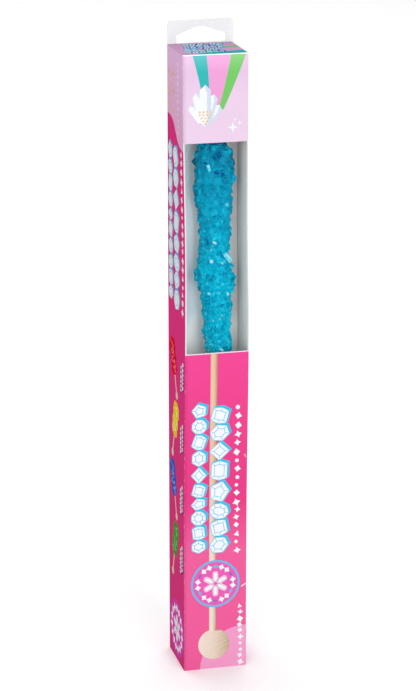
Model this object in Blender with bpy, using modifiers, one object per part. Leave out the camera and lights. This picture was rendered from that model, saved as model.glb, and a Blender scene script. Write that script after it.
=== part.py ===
"""A rock candy wand in the tall windowed carton that it hangs and stands in.

The carton stands on its base. The origin is the middle of the base, +Z is up and the window faces -Y.
Six pieces: the carton, its inner board, the window's film, the hang tab, the candy and the stick.
"""

import math
import random

import bmesh
import bpy
from mathutils import Matrix, Vector

MM = 0.001
GAP = 0.3 * MM  # between neighbouring pieces

# Carton
SIDE = 38 * MM
HEIGHT = 370 * MM
BOARD = 0.45 * MM
FOLD_RADIUS = 0.5 * MM
ROW = 12 * MM  # height of one row of faces, which lets the walls bend
WINDOW_LEFT, WINDOW_RIGHT = -18.15 * MM, 18.45 * MM
WINDOW_BOTTOM, WINDOW_TOP = 196.6 * MM, 319.8 * MM
WINDOW_RADIUS = 0.8 * MM
SEAM_WIDTH, SEAM_DEPTH = 0.22 * MM, 0.25 * MM  # the slit round each closing flap

# How the empty-fronted carton has given: the front leans to the right and its two edges draw together
LEAN, LEAN_HEIGHT, LEAN_REACH = 1.05 * MM, 211 * MM, 74 * MM
PINCH, PINCH_HEIGHT, PINCH_REACH = 0.45 * MM, 266 * MM, 40 * MM

# Inner board, a false back with two legs
INSERT_FACE = 2.2 * MM

# Window film
FILM = 0.2 * MM
FILM_LAP = 8 * MM

# Hang tab
TAB = 0.35 * MM
TAB_LEFT, TAB_RIGHT = -18.7 * MM, 19.9 * MM
TAB_BOTTOM, TAB_TOP = 345 * MM, 383.4 * MM
TAB_RADIUS, TAB_FOOT_RADIUS = 2.2 * MM, 1 * MM
TAB_ROLL = math.radians(0.7)
HOLE_LEFT, HOLE_RIGHT = -13.4 * MM, 15.4 * MM
HOLE_BOTTOM, HOLE_SHOULDER, HOLE_PEAK = 370.4 * MM, 374.9 * MM, 379.4 * MM
HOLE_PEAK_WIDTH = 5 * MM
HOLE_RADIUS, HOLE_PEAK_RADIUS = 1.1 * MM, 3 * MM

# Stick: a dowel turned in one with a ball, which stands on the carton's floor
DOWEL_RADIUS = 2.1 * MM
BALL_RADIUS = 9.5 * MM
BALL_CENTRE = Vector((7 * MM, -7.9 * MM, BOARD + GAP + BALL_RADIUS))
STICK_TOP = Vector((1.6 * MM, -7.9 * MM, 306 * MM))

# Candy: (height, reach to the left of the stick's axis, reach to the right)
CANDY_OUTLINE = [
    (184, 1.0, 1.0),
    (186, 4.5, 5.0),
    (195, 6.7, 8.4),
    (207, 7.8, 9.1),
    (214, 8.0, 7.5),
    (221, 8.9, 10.2),
    (229, 9.3, 9.0),
    (234, 10.7, 11.8),
    (239, 12.7, 11.3),
    (247, 11.0, 8.2),
    (256, 10.7, 8.2),
    (260, 9.7, 8.4),
    (265, 9.8, 11.0),
    (269, 9.2, 8.4),
    (277, 10.0, 10.0),
    (283, 11.0, 11.2),
    (290, 12.4, 10.4),
    (297, 11.2, 13.1),
    (308, 12.1, 12.3),
    (313, 10.0, 11.4),
    (318, 10.0, 7.0),
    (322, 6.5, 4.5),
    (324, 1.0, 1.0),
]
CRYSTALS = 110
CRYSTAL_SIZE_LOW, CRYSTAL_SIZE_HIGH = 4.4 * MM, 6.6 * MM  # edge length at the bottom and at the top
CORE_SHARE = 0.9  # the core's reach as a share of the outline's
SEED = 17


def collection(name, hidden=False):
    found = bpy.data.collections.new(name)
    bpy.context.scene.collection.children.link(found)
    found.hide_render = hidden
    return found


def material(name, colour, roughness, alpha=1.0):
    made = bpy.data.materials.new(name)
    made.use_nodes = True
    shader = made.node_tree.nodes["Principled BSDF"]
    shader.inputs["Base Color"].default_value = (*colour, 1)
    shader.inputs["Roughness"].default_value = roughness
    shader.inputs["Metallic"].default_value = 0
    shader.inputs["Alpha"].default_value = alpha
    made.diffuse_color = (*colour, alpha)
    return made


def mesh_object(name, bm, where):
    mesh = bpy.data.meshes.new(name)
    bm.to_mesh(mesh)
    bm.free()
    obj = bpy.data.objects.new(name, mesh)
    where.objects.link(obj)
    return obj


def block(low, high):
    """A box between two corners."""
    low, high = Vector(low), Vector(high)
    bm = bmesh.new()
    place = Matrix.Translation((low + high) / 2) @ Matrix.Diagonal((*(high - low), 1))
    bmesh.ops.create_cube(bm, size=1, matrix=place)
    return bm


def bevel_along(bm, axis, radius, segments=2):
    """Rounds the edges that run along an axis."""
    chosen = [e for e in bm.edges if abs((e.verts[0].co - e.verts[1].co).normalized()[axis]) > 0.99]
    bmesh.ops.bevel(bm, geom=chosen, offset=radius, segments=segments, profile=0.5, affect="EDGES")


def combine(obj, tool, operation="DIFFERENCE"):
    """Cuts a tool from an object, or joins it on."""
    tool.hide_render = True
    tool.display_type = "WIRE"
    change = obj.modifiers.new(tool.name, "BOOLEAN")
    change.operation = operation
    change.object = tool
    change.solver = "EXACT"
    return change


def settled(obj):
    """The object's mesh with its modifiers worked in, as a bmesh that replaces them."""
    graph = bpy.context.evaluated_depsgraph_get()
    bm = bmesh.new()
    bm.from_mesh(bpy.data.meshes.new_from_object(obj.evaluated_get(graph)))
    obj.modifiers.clear()
    return bm


def bell(height, middle, reach):
    return math.exp(-(((height - middle) / reach) ** 2))


def given(point):
    """Where a point of the straight carton lies now that its front has leaned and drawn together."""
    front = min(1, max(0, 0.5 - point.y / SIDE))
    lean = LEAN * bell(point.z, LEAN_HEIGHT, LEAN_REACH)
    pinch = PINCH * bell(point.z, PINCH_HEIGHT, PINCH_REACH)
    return Vector((point.x + front * (lean - pinch * point.x / (SIDE / 2)), point.y, point.z))


def bend(obj, bm):
    """Slices a straight piece into rows, lets it give with the carton and puts it back in its object."""
    for row in range(1, round(HEIGHT / ROW)):
        everything = bm.verts[:] + bm.edges[:] + bm.faces[:]
        bmesh.ops.bisect_plane(bm, geom=everything, plane_co=(0, 0, row * ROW), plane_no=(0, 0, 1))
    for vert in bm.verts:
        vert.co = given(vert.co)
    bmesh.ops.triangulate(bm, faces=bm.faces[:])
    bm.to_mesh(obj.data)
    bm.free()


def seams(height, cutters):
    """The slit round three sides of the closing flap at one end, which hinges on the back panel."""
    inset = BOARD + SEAM_WIDTH / 2
    edge = SIDE / 2 - inset
    half = SEAM_WIDTH / 2
    runs = {
        "left": ((-edge - half, -edge), (-edge + half, SIDE / 2 - inset)),
        "right": ((edge - half, -edge), (edge + half, SIDE / 2 - inset)),
        "front": ((-edge - half, -edge - half), (edge + half, -edge + half)),
    }
    for side, (low, high) in runs.items():
        bm = block((*low, height - SEAM_DEPTH), (*high, height + SEAM_DEPTH))
        yield mesh_object(f"seam_{side}_{round(height / MM)}", bm, cutters)


def carton(parts, cutters):
    half = SIDE / 2
    bm = block((-half, -half, 0), (half, half, HEIGHT))
    bevel_along(bm, 2, FOLD_RADIUS)
    obj = mesh_object("carton", bm, parts)
    inner = half - BOARD
    hollow = block((-inner, -inner, BOARD), (inner, inner, HEIGHT - BOARD))
    combine(obj, mesh_object("hollow", hollow, cutters))
    opening = block((WINDOW_LEFT, -half - BOARD, WINDOW_BOTTOM), (WINDOW_RIGHT, 0, WINDOW_TOP))
    bevel_along(opening, 1, WINDOW_RADIUS)
    combine(obj, mesh_object("window_opening", opening, cutters))
    for height in (0, HEIGHT):
        for seam in seams(height, cutters):
            combine(obj, seam)
    bend(obj, settled(obj))
    obj.data.materials.append(material("printed_board", (0.86, 0.09, 0.32), 0.4))


def insert(parts, cutters):
    reach = SIDE / 2 - BOARD - GAP
    low, high = BOARD + GAP, HEIGHT - BOARD - GAP
    obj = mesh_object("insert", block((-reach, INSERT_FACE, low), (reach, reach, high)), parts)
    behind = block((BOARD - reach, INSERT_FACE + BOARD, 0), (reach - BOARD, SIDE, HEIGHT))
    combine(obj, mesh_object("behind_insert", behind, cutters))
    bend(obj, settled(obj))
    obj.data.materials.append(material("white_board", (0.8, 0.8, 0.82), 0.6))


def window_film(parts):
    reach = SIDE / 2 - BOARD - GAP
    low = (-reach, -reach, WINDOW_BOTTOM - FILM_LAP)
    high = (reach, -reach + FILM, WINDOW_TOP + FILM_LAP)
    bm = block(low, high)
    obj = mesh_object("window_film", bm.copy(), parts)
    bend(obj, bm)
    obj.data.materials.append(material("clear_film", (0.9, 0.92, 0.95), 0.08, 0.15))


def rounded(corners, steps=5):
    """A closed outline of (x, y, radius) corners, listed anticlockwise, as points with each corner an arc."""
    points = []
    for index, (x, y, radius) in enumerate(corners):
        here = Vector((x, y))
        before = (Vector(corners[index - 1][:2]) - here).normalized()
        after = (Vector(corners[(index + 1) % len(corners)][:2]) - here).normalized()
        half_angle = before.angle(after) / 2
        centre = here + (before + after).normalized() * radius / math.sin(half_angle)
        start = here + before * radius / math.tan(half_angle) - centre
        sweep = math.pi - 2 * half_angle
        for step in range(steps + 1):
            points.append(centre + Matrix.Rotation(sweep * step / steps, 2) @ start)
    return points


def hang_tab(parts):
    """A clear plate stuck on the back, with a tent-shaped hole over the carton's top."""
    middle = (HOLE_LEFT + HOLE_RIGHT) / 2
    plate = [
        (TAB_LEFT, TAB_BOTTOM, TAB_FOOT_RADIUS),
        (TAB_RIGHT, TAB_BOTTOM, TAB_FOOT_RADIUS),
        (TAB_RIGHT, TAB_TOP, TAB_RADIUS),
        (TAB_LEFT, TAB_TOP, TAB_RADIUS),
    ]
    hole = [
        (HOLE_LEFT, HOLE_BOTTOM, HOLE_RADIUS),
        (HOLE_RIGHT, HOLE_BOTTOM, HOLE_RADIUS),
        (HOLE_RIGHT, HOLE_SHOULDER, HOLE_RADIUS),
        (middle + HOLE_PEAK_WIDTH / 2, HOLE_PEAK, HOLE_PEAK_RADIUS),
        (middle - HOLE_PEAK_WIDTH / 2, HOLE_PEAK, HOLE_PEAK_RADIUS),
        (HOLE_LEFT, HOLE_SHOULDER, HOLE_RADIUS),
    ]
    curve = bpy.data.curves.new("hang_tab", "CURVE")
    curve.dimensions = "2D"
    curve.fill_mode = "BOTH"
    curve.extrude = TAB / 2
    for outline in (plate, hole):
        points = rounded(outline)
        spline = curve.splines.new("POLY")
        spline.points.add(len(points) - 1)
        for target, point in zip(spline.points, points):
            target.co = (point.x, point.y - HEIGHT, 0, 1)
        spline.use_cyclic_u = True
    obj = bpy.data.objects.new("hang_tab", curve)
    obj.location = (0, SIDE / 2 + GAP + TAB / 2, HEIGHT)
    obj.rotation_euler = (math.pi / 2, -TAB_ROLL, 0)
    parts.objects.link(obj)
    curve.materials.append(material("clear_plastic", (0.9, 0.92, 0.95), 0.15, 0.3))


def along_stick(height):
    """The stick's axis at a height."""
    return BALL_CENTRE.lerp(STICK_TOP, (height - BALL_CENTRE.z) / (STICK_TOP.z - BALL_CENTRE.z))


def reach(height, turn):
    """How far the candy reaches from the stick's axis, towards an angle measured from +X."""
    rows = [(z * MM, left * MM, right * MM) for z, left, right in CANDY_OUTLINE]
    height = min(max(height, rows[0][0]), rows[-1][0])
    lower, upper = next(pair for pair in zip(rows, rows[1:]) if height <= pair[1][0])
    share = (height - lower[0]) / (upper[0] - lower[0])
    left = lower[1] + share * (upper[1] - lower[1])
    right = lower[2] + share * (upper[2] - lower[2])
    sideways = (left + right) / 2 + (right - left) / 2 * math.cos(turn)
    room = (INSERT_FACE + SIDE / 2 - BOARD - FILM) / 2 - 2 * GAP
    return 1 / math.hypot(math.cos(turn) / sideways, math.sin(turn) / min(sideways, room))


def candy_core(where):
    """A round bar under the crystals, from a sphere drawn out to the outline's height."""
    low, high = CANDY_OUTLINE[0][0] * MM, CANDY_OUTLINE[-1][0] * MM
    bm = bmesh.new()
    bmesh.ops.create_uvsphere(bm, u_segments=20, v_segments=26, radius=1)
    for vert in bm.verts:
        share = 0.5 + math.asin(max(-1, min(1, vert.co.z))) / math.pi
        height = low + (high - low) * (0.03 + 0.94 * share)
        turn = math.atan2(vert.co.y, vert.co.x)
        pole = math.hypot(vert.co.x, vert.co.y) < 1e-4
        out = 0 if pole else CORE_SHARE * reach(height, turn)
        axis = along_stick(height)
        vert.co = (axis.x + out * math.cos(turn), axis.y + out * math.sin(turn), height)
    return mesh_object("rock_candy", bm, where)


def candy_crystals(where):
    """Blocks of sugar, turned every way, each pushed out until it just meets the outline."""
    chance = random.Random(SEED)
    low, high = CANDY_OUTLINE[1][0] * MM, CANDY_OUTLINE[-2][0] * MM
    front, back = GAP - SIDE / 2 + BOARD + GAP + FILM, INSERT_FACE - GAP
    bm = bmesh.new()
    for index in range(CRYSTALS):
        share = (index + 0.5) / CRYSTALS
        height = low + (high - low) * share
        turn = index * math.pi * (3 - math.sqrt(5)) + chance.uniform(-0.3, 0.3)
        edge = CRYSTAL_SIZE_LOW + (CRYSTAL_SIZE_HIGH - CRYSTAL_SIZE_LOW) * share
        shape = Matrix.Diagonal([edge * chance.uniform(0.8, 1.2) for _ in range(3)])
        facing = Matrix.Rotation(chance.uniform(0, math.pi), 3, (chance.random(), chance.random(), 1))
        facing = Matrix.Rotation(chance.uniform(0, math.pi), 3, "X") @ facing
        verts = bmesh.ops.create_cube(bm, size=1)["verts"]
        bmesh.ops.transform(bm, matrix=(facing @ shape).to_4x4(), verts=verts)
        out = Vector((math.cos(turn), math.sin(turn), 0))
        furthest = max(vert.co.dot(out) for vert in verts)
        place = along_stick(height) + out * (reach(height, turn) - furthest)
        beyond = max(place.y + vert.co.y for vert in verts) - back
        before = min(place.y + vert.co.y for vert in verts) - front
        place.y -= max(0, beyond) + min(0, before)
        bmesh.ops.translate(bm, verts=verts, vec=place)
    return mesh_object("crystals", bm, where)


def rock_candy(parts, cutters):
    obj = candy_core(parts)
    combine(obj, candy_crystals(cutters), "UNION").use_self = True
    axis = STICK_TOP - BALL_CENTRE
    bm = bmesh.new()
    bore = DOWEL_RADIUS + GAP
    depth = axis.length + GAP
    bmesh.ops.create_cone(bm, segments=16, radius1=bore, radius2=bore, depth=depth, cap_ends=True)
    turn = axis.to_track_quat("Z", "Y").to_matrix().to_4x4()
    place = Matrix.Translation(BALL_CENTRE + axis.normalized() * depth / 2) @ turn
    bmesh.ops.transform(bm, matrix=place, verts=bm.verts)
    combine(obj, mesh_object("stick_bore", bm, cutters))
    obj.data.materials.append(material("blue_sugar", (0.005, 0.3, 0.44), 0.15))


def stick(parts):
    """The turned profile runs from the dowel's chamfered top down to the ball's lowest point."""
    length = (STICK_TOP - BALL_CENTRE).length
    chamfer = DOWEL_RADIUS / 5
    profile = [(0, length), (DOWEL_RADIUS - chamfer, length), (DOWEL_RADIUS, length - chamfer)]
    start = math.asin(DOWEL_RADIUS / BALL_RADIUS)
    steps = 14
    for step in range(steps + 1):
        turn = start + (math.pi - start) * step / steps
        profile.append((BALL_RADIUS * math.sin(turn), BALL_RADIUS * math.cos(turn)))
    mesh = bpy.data.meshes.new("stick")
    mesh.from_pydata([(x, 0, z) for x, z in profile], [(i, i + 1) for i in range(len(profile) - 1)], [])
    obj = bpy.data.objects.new("stick", mesh)
    parts.objects.link(obj)
    obj.location = BALL_CENTRE
    obj.rotation_mode = "QUATERNION"
    obj.rotation_quaternion = (STICK_TOP - BALL_CENTRE).to_track_quat("Z", "Y")
    screw = obj.modifiers.new("turned", "SCREW")
    screw.steps = screw.render_steps = 28
    screw.use_merge_vertices = True
    screw.merge_threshold = 1e-6
    screw.use_smooth_shade = True
    mesh.materials.append(material("birch", (0.75, 0.56, 0.36), 0.6))


def main():
    for obj in list(bpy.data.objects):
        bpy.data.objects.remove(obj)
    parts = collection("rock_candy_carton")
    cutters = collection("cutters", hidden=True)
    carton(parts, cutters)
    insert(parts, cutters)
    window_film(parts)
    hang_tab(parts)
    rock_candy(parts, cutters)
    stick(parts)


main()
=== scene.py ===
import math
import random

import bmesh
import bpy
from mathutils import Matrix, Vector
from mathutils.bvhtree import BVHTree


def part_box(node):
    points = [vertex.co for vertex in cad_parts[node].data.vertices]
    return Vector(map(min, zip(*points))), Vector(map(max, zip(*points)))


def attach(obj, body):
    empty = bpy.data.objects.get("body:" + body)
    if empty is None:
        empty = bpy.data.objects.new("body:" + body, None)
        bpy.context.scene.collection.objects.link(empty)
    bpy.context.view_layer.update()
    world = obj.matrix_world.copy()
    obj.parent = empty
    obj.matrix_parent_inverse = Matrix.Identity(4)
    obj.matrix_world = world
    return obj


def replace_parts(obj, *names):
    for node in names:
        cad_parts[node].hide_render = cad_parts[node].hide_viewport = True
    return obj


mm = 0.001

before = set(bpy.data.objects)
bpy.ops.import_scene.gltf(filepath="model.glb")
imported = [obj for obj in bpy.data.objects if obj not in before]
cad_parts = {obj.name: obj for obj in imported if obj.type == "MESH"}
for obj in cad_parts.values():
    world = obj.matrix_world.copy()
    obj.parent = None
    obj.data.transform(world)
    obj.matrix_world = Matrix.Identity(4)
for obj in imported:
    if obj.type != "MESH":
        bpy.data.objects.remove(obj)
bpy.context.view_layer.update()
cartonLow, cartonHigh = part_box("carton")
side = (cartonHigh[1] - cartonLow[1]) / mm
tall = (cartonHigh[2] - cartonLow[2]) / mm
print("frame loaded:", ", ".join(sorted(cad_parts)))


# small helpers for shader nodes
def ink(red, green, blue, strength=0.68):
    # a colour as a paint program shows it, 0 to 255, in the linear values that shaders take,
    # and a shade darker, because the studio light on the front is over full white
    linear = (((c / 255 + 0.055) / 1.055) ** 2.4 if c > 10 else c / 255 / 12.92 for c in (red, green, blue))
    return tuple(strength * c for c in linear)


def addNode(tree, kind, inputs=(), **settings):
    made = tree.nodes.new(kind)
    for name, value in settings.items():
        setattr(made, name, value)
    for name, value in dict(inputs).items():
        plug(tree, value, made.inputs[name])
    return made


def plug(tree, value, socket):
    if isinstance(value, bpy.types.NodeSocket):
        tree.links.new(value, socket)
    elif isinstance(value, tuple) and len(value) == 3 and len(socket.default_value) == 4:
        socket.default_value = (*value, 1)
    else:
        socket.default_value = value


def maths(tree, operation, *values, clamp=False):
    made = addNode(tree, "ShaderNodeMath", enumerate(values), operation=operation, use_clamp=clamp)
    return made.outputs[0]


def fade(tree, value, start, end, first=0.0, last=1.0):
    # passes from the first number to the last while the value goes from start to end
    return addNode(tree, "ShaderNodeMapRange", {0: value, 1: start, 2: end, 3: first, 4: last}).outputs[0]


def above(tree, value, limit, soft=0.04):
    return fade(tree, value, limit - soft, limit + soft)


def between(tree, value, low, high, soft=0.04):
    # 1 where the value lies between two limits, with a short soft edge
    return maths(tree, "SUBTRACT", above(tree, value, low, soft), above(tree, value, high, soft), clamp=True)


def mixed(tree, share, first, second, blend="MIX"):
    made = addNode(tree, "ShaderNodeMix", data_type="RGBA", blend_type=blend)
    plug(tree, share, made.inputs[0])
    plug(tree, first, made.inputs[6])
    plug(tree, second, made.inputs[7])
    return made.outputs[2]


def colourRamp(tree, value, colours):
    # colours are pairs of place and colour, the first at 0 and the last at 1
    ramp = addNode(tree, "ShaderNodeValToRGB", {"Fac": value})
    stops = ramp.color_ramp.elements
    for stop, (position, colour) in zip(stops, (colours[0], colours[-1])):
        stop.position, stop.color = position, (*colour, 1)
    for position, colour in colours[1:-1]:
        stops.new(position).color = (*colour, 1)
    return ramp.outputs["Color"]


def noiseAt(tree, vector, scale, detail=3.0):
    made = addNode(tree, "ShaderNodeTexNoise", {"Vector": vector, "Scale": scale, "Detail": detail})
    return made.outputs[0]


def toned(tree, colour, tone):
    return mixed(tree, 1.0, colour, tone, blend="MULTIPLY")


def withBump(tree, shader, height, strength):
    bump = addNode(tree, "ShaderNodeBump", {"Strength": strength, "Distance": 0.0003, "Height": height})
    plug(tree, bump.outputs[0], shader.inputs["Normal"])


def newMaterial(name, **sockets):
    made = bpy.data.materials.new(name)
    made.use_nodes = True
    tree = made.node_tree
    shader = tree.nodes["Principled BSDF"]
    for socket, value in sockets.items():
        plug(tree, value, shader.inputs[socket.replace("_", " ")])
    place = addNode(tree, "ShaderNodeTexCoord").outputs["Object"]
    return made, tree, shader, place


def newGroup(name, inputs, outputs):
    # an input without a number is a place
    group = bpy.data.node_groups.new(name, "ShaderNodeTree")
    for socket, value in inputs.items():
        kind = "NodeSocketVector" if value is None else "NodeSocketFloat"
        made = group.interface.new_socket(socket, in_out="INPUT", socket_type=kind)
        if value is not None:
            made.default_value = value
    for socket in outputs:
        group.interface.new_socket(socket, in_out="OUTPUT", socket_type="NodeSocketFloat")
    return group, group.nodes.new("NodeGroupInput").outputs, group.nodes.new("NodeGroupOutput").inputs


def useGroup(tree, group, **inputs):
    return addNode(tree, "ShaderNodeGroup", inputs, node_tree=group).outputs


# effects that the board and the inks share
def makeBoardGrain():
    # pressed fibres, broad waviness from the glue and the rollers, and a slightly uneven tint
    sockets = {"Place": None, "Fibre": 0.5, "Wave": 1.0}
    group, given, out = newGroup("boardGrain", sockets, ("Height", "Tint"))
    fibre = noiseAt(group, given["Place"], 2600.0, 4.0)
    wave = noiseAt(group, given["Place"], 38.0, 2.0)
    speckle = noiseAt(group, given["Place"], 900.0, 2.0)
    height = maths(group, "MULTIPLY", fibre, given["Fibre"])
    height = maths(group, "MULTIPLY_ADD", wave, given["Wave"], height)
    group.links.new(height, out["Height"])
    group.links.new(fade(group, speckle, 0.3, 0.7, 0.97, 1.02), out["Tint"])
    return group


def makeFoldWear():
    # thin pale cracks in the ink, strongest right on the four upright folds
    group, given, out = newGroup("foldWear", {"Place": None, "Across": 0.0, "Depth": 0.0}, ("Worn",))
    fromMiddle, fromCentre = (maths(group, "ABSOLUTE", given[name]) for name in ("Across", "Depth"))
    nearest = maths(group, "MINIMUM", fromMiddle, fromCentre)
    onFold = fade(group, nearest, side / 2 - 0.55, side / 2 - 0.1)
    crack = fade(group, noiseAt(group, given["Place"], 420.0, 5.0), 0.52, 0.66)
    group.links.new(maths(group, "MULTIPLY", onFold, crack), out["Worn"])
    return group


boardGrain = makeBoardGrain()
foldWear = makeFoldWear()


def withBoardGrain(tree, shader, place, colour, fibre=0.5, wave=1.0, strength=0.12):
    grain = useGroup(tree, boardGrain, Place=place, Fibre=fibre, Wave=wave)
    plug(tree, toned(tree, colour, grain["Tint"]), shader.inputs["Base Color"])
    withBump(tree, shader, grain["Height"], strength)


# the carton's front leans to the right and draws in round the window, in millimetres
give = {
    "lean": 1.05, "leanHeight": 211, "leanReach": 74,
    "pinch": 0.45, "pinchHeight": 266, "pinchReach": 40,
}


def bell(height, middle, reach):
    return math.exp(-(((height - middle) / reach) ** 2))


def given(across, depth, up):
    front = min(1, max(0, 0.5 - depth / side))
    lean = give["lean"] * bell(up, give["leanHeight"], give["leanReach"])
    pinch = give["pinch"] * bell(up, give["pinchHeight"], give["pinchReach"])
    return Vector((across + front * (lean - pinch * across / (side / 2)), depth, up))


def bellNodes(tree, height, middle, reach, size):
    share = maths(tree, "DIVIDE", maths(tree, "SUBTRACT", height, float(middle)), float(reach))
    power = maths(tree, "MULTIPLY", maths(tree, "MULTIPLY", share, share), -1.0)
    return maths(tree, "MULTIPLY", maths(tree, "EXPONENT", power), float(size))


def makeSheetPlace():
    # millimetres across, deep and up on the flat sheet, with the lean and the pinch taken off
    group, source, out = newGroup("sheetPlace", {"Place": None}, ("Across", "Depth", "Up"))
    scaled = addNode(group, "ShaderNodeVectorMath", {0: source["Place"], "Scale": 1 / mm}, operation="SCALE")
    split = addNode(group, "ShaderNodeSeparateXYZ", {0: scaled.outputs[0]}).outputs
    front = maths(group, "SUBTRACT", 0.5, maths(group, "DIVIDE", split["Y"], side), clamp=True)
    lean = bellNodes(group, split["Z"], give["leanHeight"], give["leanReach"], give["lean"])
    pinch = bellNodes(group, split["Z"], give["pinchHeight"], give["pinchReach"], give["pinch"] / (side / 2))
    across = maths(group, "SUBTRACT", split["X"], maths(group, "MULTIPLY", front, lean))
    drawnIn = maths(group, "SUBTRACT", 1.0, maths(group, "MULTIPLY", front, pinch))
    across = maths(group, "DIVIDE", across, drawnIn)
    for name, value in (("Across", across), ("Depth", split["Y"]), ("Up", split["Z"])):
        group.links.new(value, out[name])
    return group


sheetPlace = makeSheetPlace()


# the carton's board: fields of colour on each panel
cartonInks = {
    "pinkHigh": ink(243, 76, 152), "pinkMiddle": ink(236, 67, 139), "pinkLow": ink(244, 99, 160),
    # the sides' pinks are the front's pink laid darker: painted shade for the sides' dimmer light
    "shadedPinkSide": ink(234, 60, 135), "shadedPinkSideLow": ink(226, 63, 131),
    "pale": ink(238, 210, 236), "paleTop": ink(232, 192, 228),
    "mauve": ink(220, 174, 214),
    "mauveSide": ink(244, 197, 237), "mauveSideLow": ink(238, 184, 219),
    "teal": ink(56, 188, 188),
    "rose": ink(240, 166, 218),
    "green": ink(122, 204, 108),
    "segment": ink(250, 163, 208),
    "bare": (0.92, 0.92, 0.93), "inner": (0.97, 0.9, 0.84),
    # shine is the white of a painted highlight, not an ink
    "cut": ink(236, 234, 240), "shine": ink(255, 250, 255),
    "roughness": 0.5, "gloss": 0.0,
}
cartonPrint = {
    "window": {"bottom": 196.6, "top": 319.8, "margin": 0.6},
    # heights over which one ink passes into the next
    "middleFade": (190.0, 120.0), "lowFade": (105.0, 75.0), "topFade": (345.0, 372.0),
    "mauveFade": (325.0, 365.0),
    # stripes that fan up from one point to the front's top edge: colour, and left and right edge there
    "raySource": (-4.0, 322.0), "rayStart": 16.5, "rayBow": 1.1,
    "rays": (("teal", -13.4, -5.2), ("rose", -5.2, 9.0), ("green", 9.0, 17.6)),
    "cornerCentre": (18.0, -1.3), "cornerRadius": 27.4,  # the pale disc that the front's lower corner cuts
    "foldShadeWidth": 2.2, "foldShadeFactor": 0.8,  # painted shade along the front's left fold, where the sheet turns away from the light
    "shineHeight": 10.0, "shineWhite": 0.1, "shineLift": 0.12,  # and a painted highlight lightens it softly under its top fold
    # where the sides turn from pink to mauve: a wave that falls towards the front
    "waveMiddle": (-1.5, 323.3), "waveHeight": 8.2, "waveReach": 7.5,
    # the flap's stripes: colour, front and back edge, and left end
    "flapSlope": -0.22,
    "flapStripes": (("teal", -23.5, -12.5, -9.0), ("rose", -9.5, -4.8, 6.5), ("green", -2.2, 1.6, 5.5)),
}


def frontInks(tree, across, up):
    # hot pink with a pale corner below the window, pale pink with rays above it
    inks, layout = cartonInks, cartonPrint
    colour = mixed(tree, fade(tree, up, *layout["middleFade"]), inks["pinkHigh"], inks["pinkMiddle"])
    colour = mixed(tree, fade(tree, up, *layout["lowFade"]), colour, inks["pinkLow"])
    spot = addNode(tree, "ShaderNodeCombineXYZ", {0: across, 1: up}).outputs[0]
    fromCorner = addNode(
        tree, "ShaderNodeVectorMath", {0: spot, 1: (*layout["cornerCentre"], 0.0)}, operation="DISTANCE"
    ).outputs["Value"]
    colour = mixed(tree, between(tree, fromCorner, -1.0, layout["cornerRadius"]), colour, inks["segment"])
    upper = mixed(tree, fade(tree, up, *layout["topFade"]), inks["pale"], inks["paleTop"])
    upper = withRays(tree, across, up, upper)
    window = layout["window"]
    colour = mixed(tree, above(tree, up, window["bottom"] + 60), colour, upper)
    # painted shade: the front's colour darkens towards its left fold
    paintedFoldShade = fade(tree, across, -side / 2, layout["foldShadeWidth"] - side / 2, layout["foldShadeFactor"], 1.0)
    colour = toned(tree, colour, paintedFoldShade)
    # painted highlight: the front pales and brightens towards its top fold
    shine = fade(tree, up, tall - layout["shineHeight"], tall)
    colour = mixed(tree, maths(tree, "MULTIPLY", shine, layout["shineWhite"]), colour, inks["shine"])
    colour = toned(tree, colour, maths(tree, "MULTIPLY_ADD", shine, layout["shineLift"], 1.0))
    inWindowRows = between(tree, up, window["bottom"] - window["margin"], window["top"])
    return mixed(tree, inWindowRows, colour, inks["cut"])


def withRays(tree, across, up, colour):
    layout = cartonPrint
    sourceAcross, sourceUp = layout["raySource"]
    rise = maths(tree, "SUBTRACT", up, sourceUp)
    share = maths(tree, "DIVIDE", rise, tall - sourceUp)
    bow = maths(tree, "MULTIPLY", share, maths(tree, "SUBTRACT", 1.0, share))
    bow = maths(tree, "MULTIPLY", bow, 4 * layout["rayBow"])
    bent = maths(tree, "SUBTRACT", maths(tree, "SUBTRACT", across, sourceAcross), bow)
    slope = maths(tree, "DIVIDE", bent, maths(tree, "MAXIMUM", rise, 0.5))
    overSource = above(tree, rise, layout["rayStart"])
    for name, left, right in layout["rays"]:
        low, high = ((edge - sourceAcross) / (tall - sourceUp) for edge in (left, right))
        inRay = maths(tree, "MULTIPLY", between(tree, slope, low, high, soft=0.003), overSource)
        colour = mixed(tree, inRay, colour, cartonInks[name])
    return colour


def sideInks(tree, depth, up):
    # mauve over pink: the plain pink, the sides and the back
    inks, layout = cartonInks, cartonPrint
    middleDepth, middleUp = layout["waveMiddle"]
    wave = maths(tree, "DIVIDE", maths(tree, "SUBTRACT", depth, middleDepth), layout["waveReach"])
    edge = maths(tree, "MULTIPLY_ADD", maths(tree, "TANH", wave), layout["waveHeight"], middleUp)
    overEdge = above(tree, maths(tree, "SUBTRACT", up, edge), 0.0, soft=0.15)
    overBackEdge = above(tree, up, middleUp + layout["waveHeight"])
    mauve = mixed(tree, fade(tree, up, *layout["mauveFade"]), inks["mauveSideLow"], inks["mauveSide"])
    # painted shade: the sides take a darker copy of the pink
    pink = mixed(tree, fade(tree, up, *layout["middleFade"]), inks["shadedPinkSide"], inks["shadedPinkSideLow"])
    return pink, mixed(tree, overEdge, pink, mauve), mixed(tree, overBackEdge, pink, mauve)


def flapInks(tree, across, depth):
    # mauve, with three short stripes at the front right
    colour = cartonInks["mauve"]
    level = maths(tree, "MULTIPLY_ADD", across, cartonPrint["flapSlope"], depth)
    for name, low, high, start in cartonPrint["flapStripes"]:
        inStripe = maths(tree, "MULTIPLY", between(tree, level, low, high), above(tree, across, start))
        colour = mixed(tree, inStripe, colour, cartonInks[name])
    return colour


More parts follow.
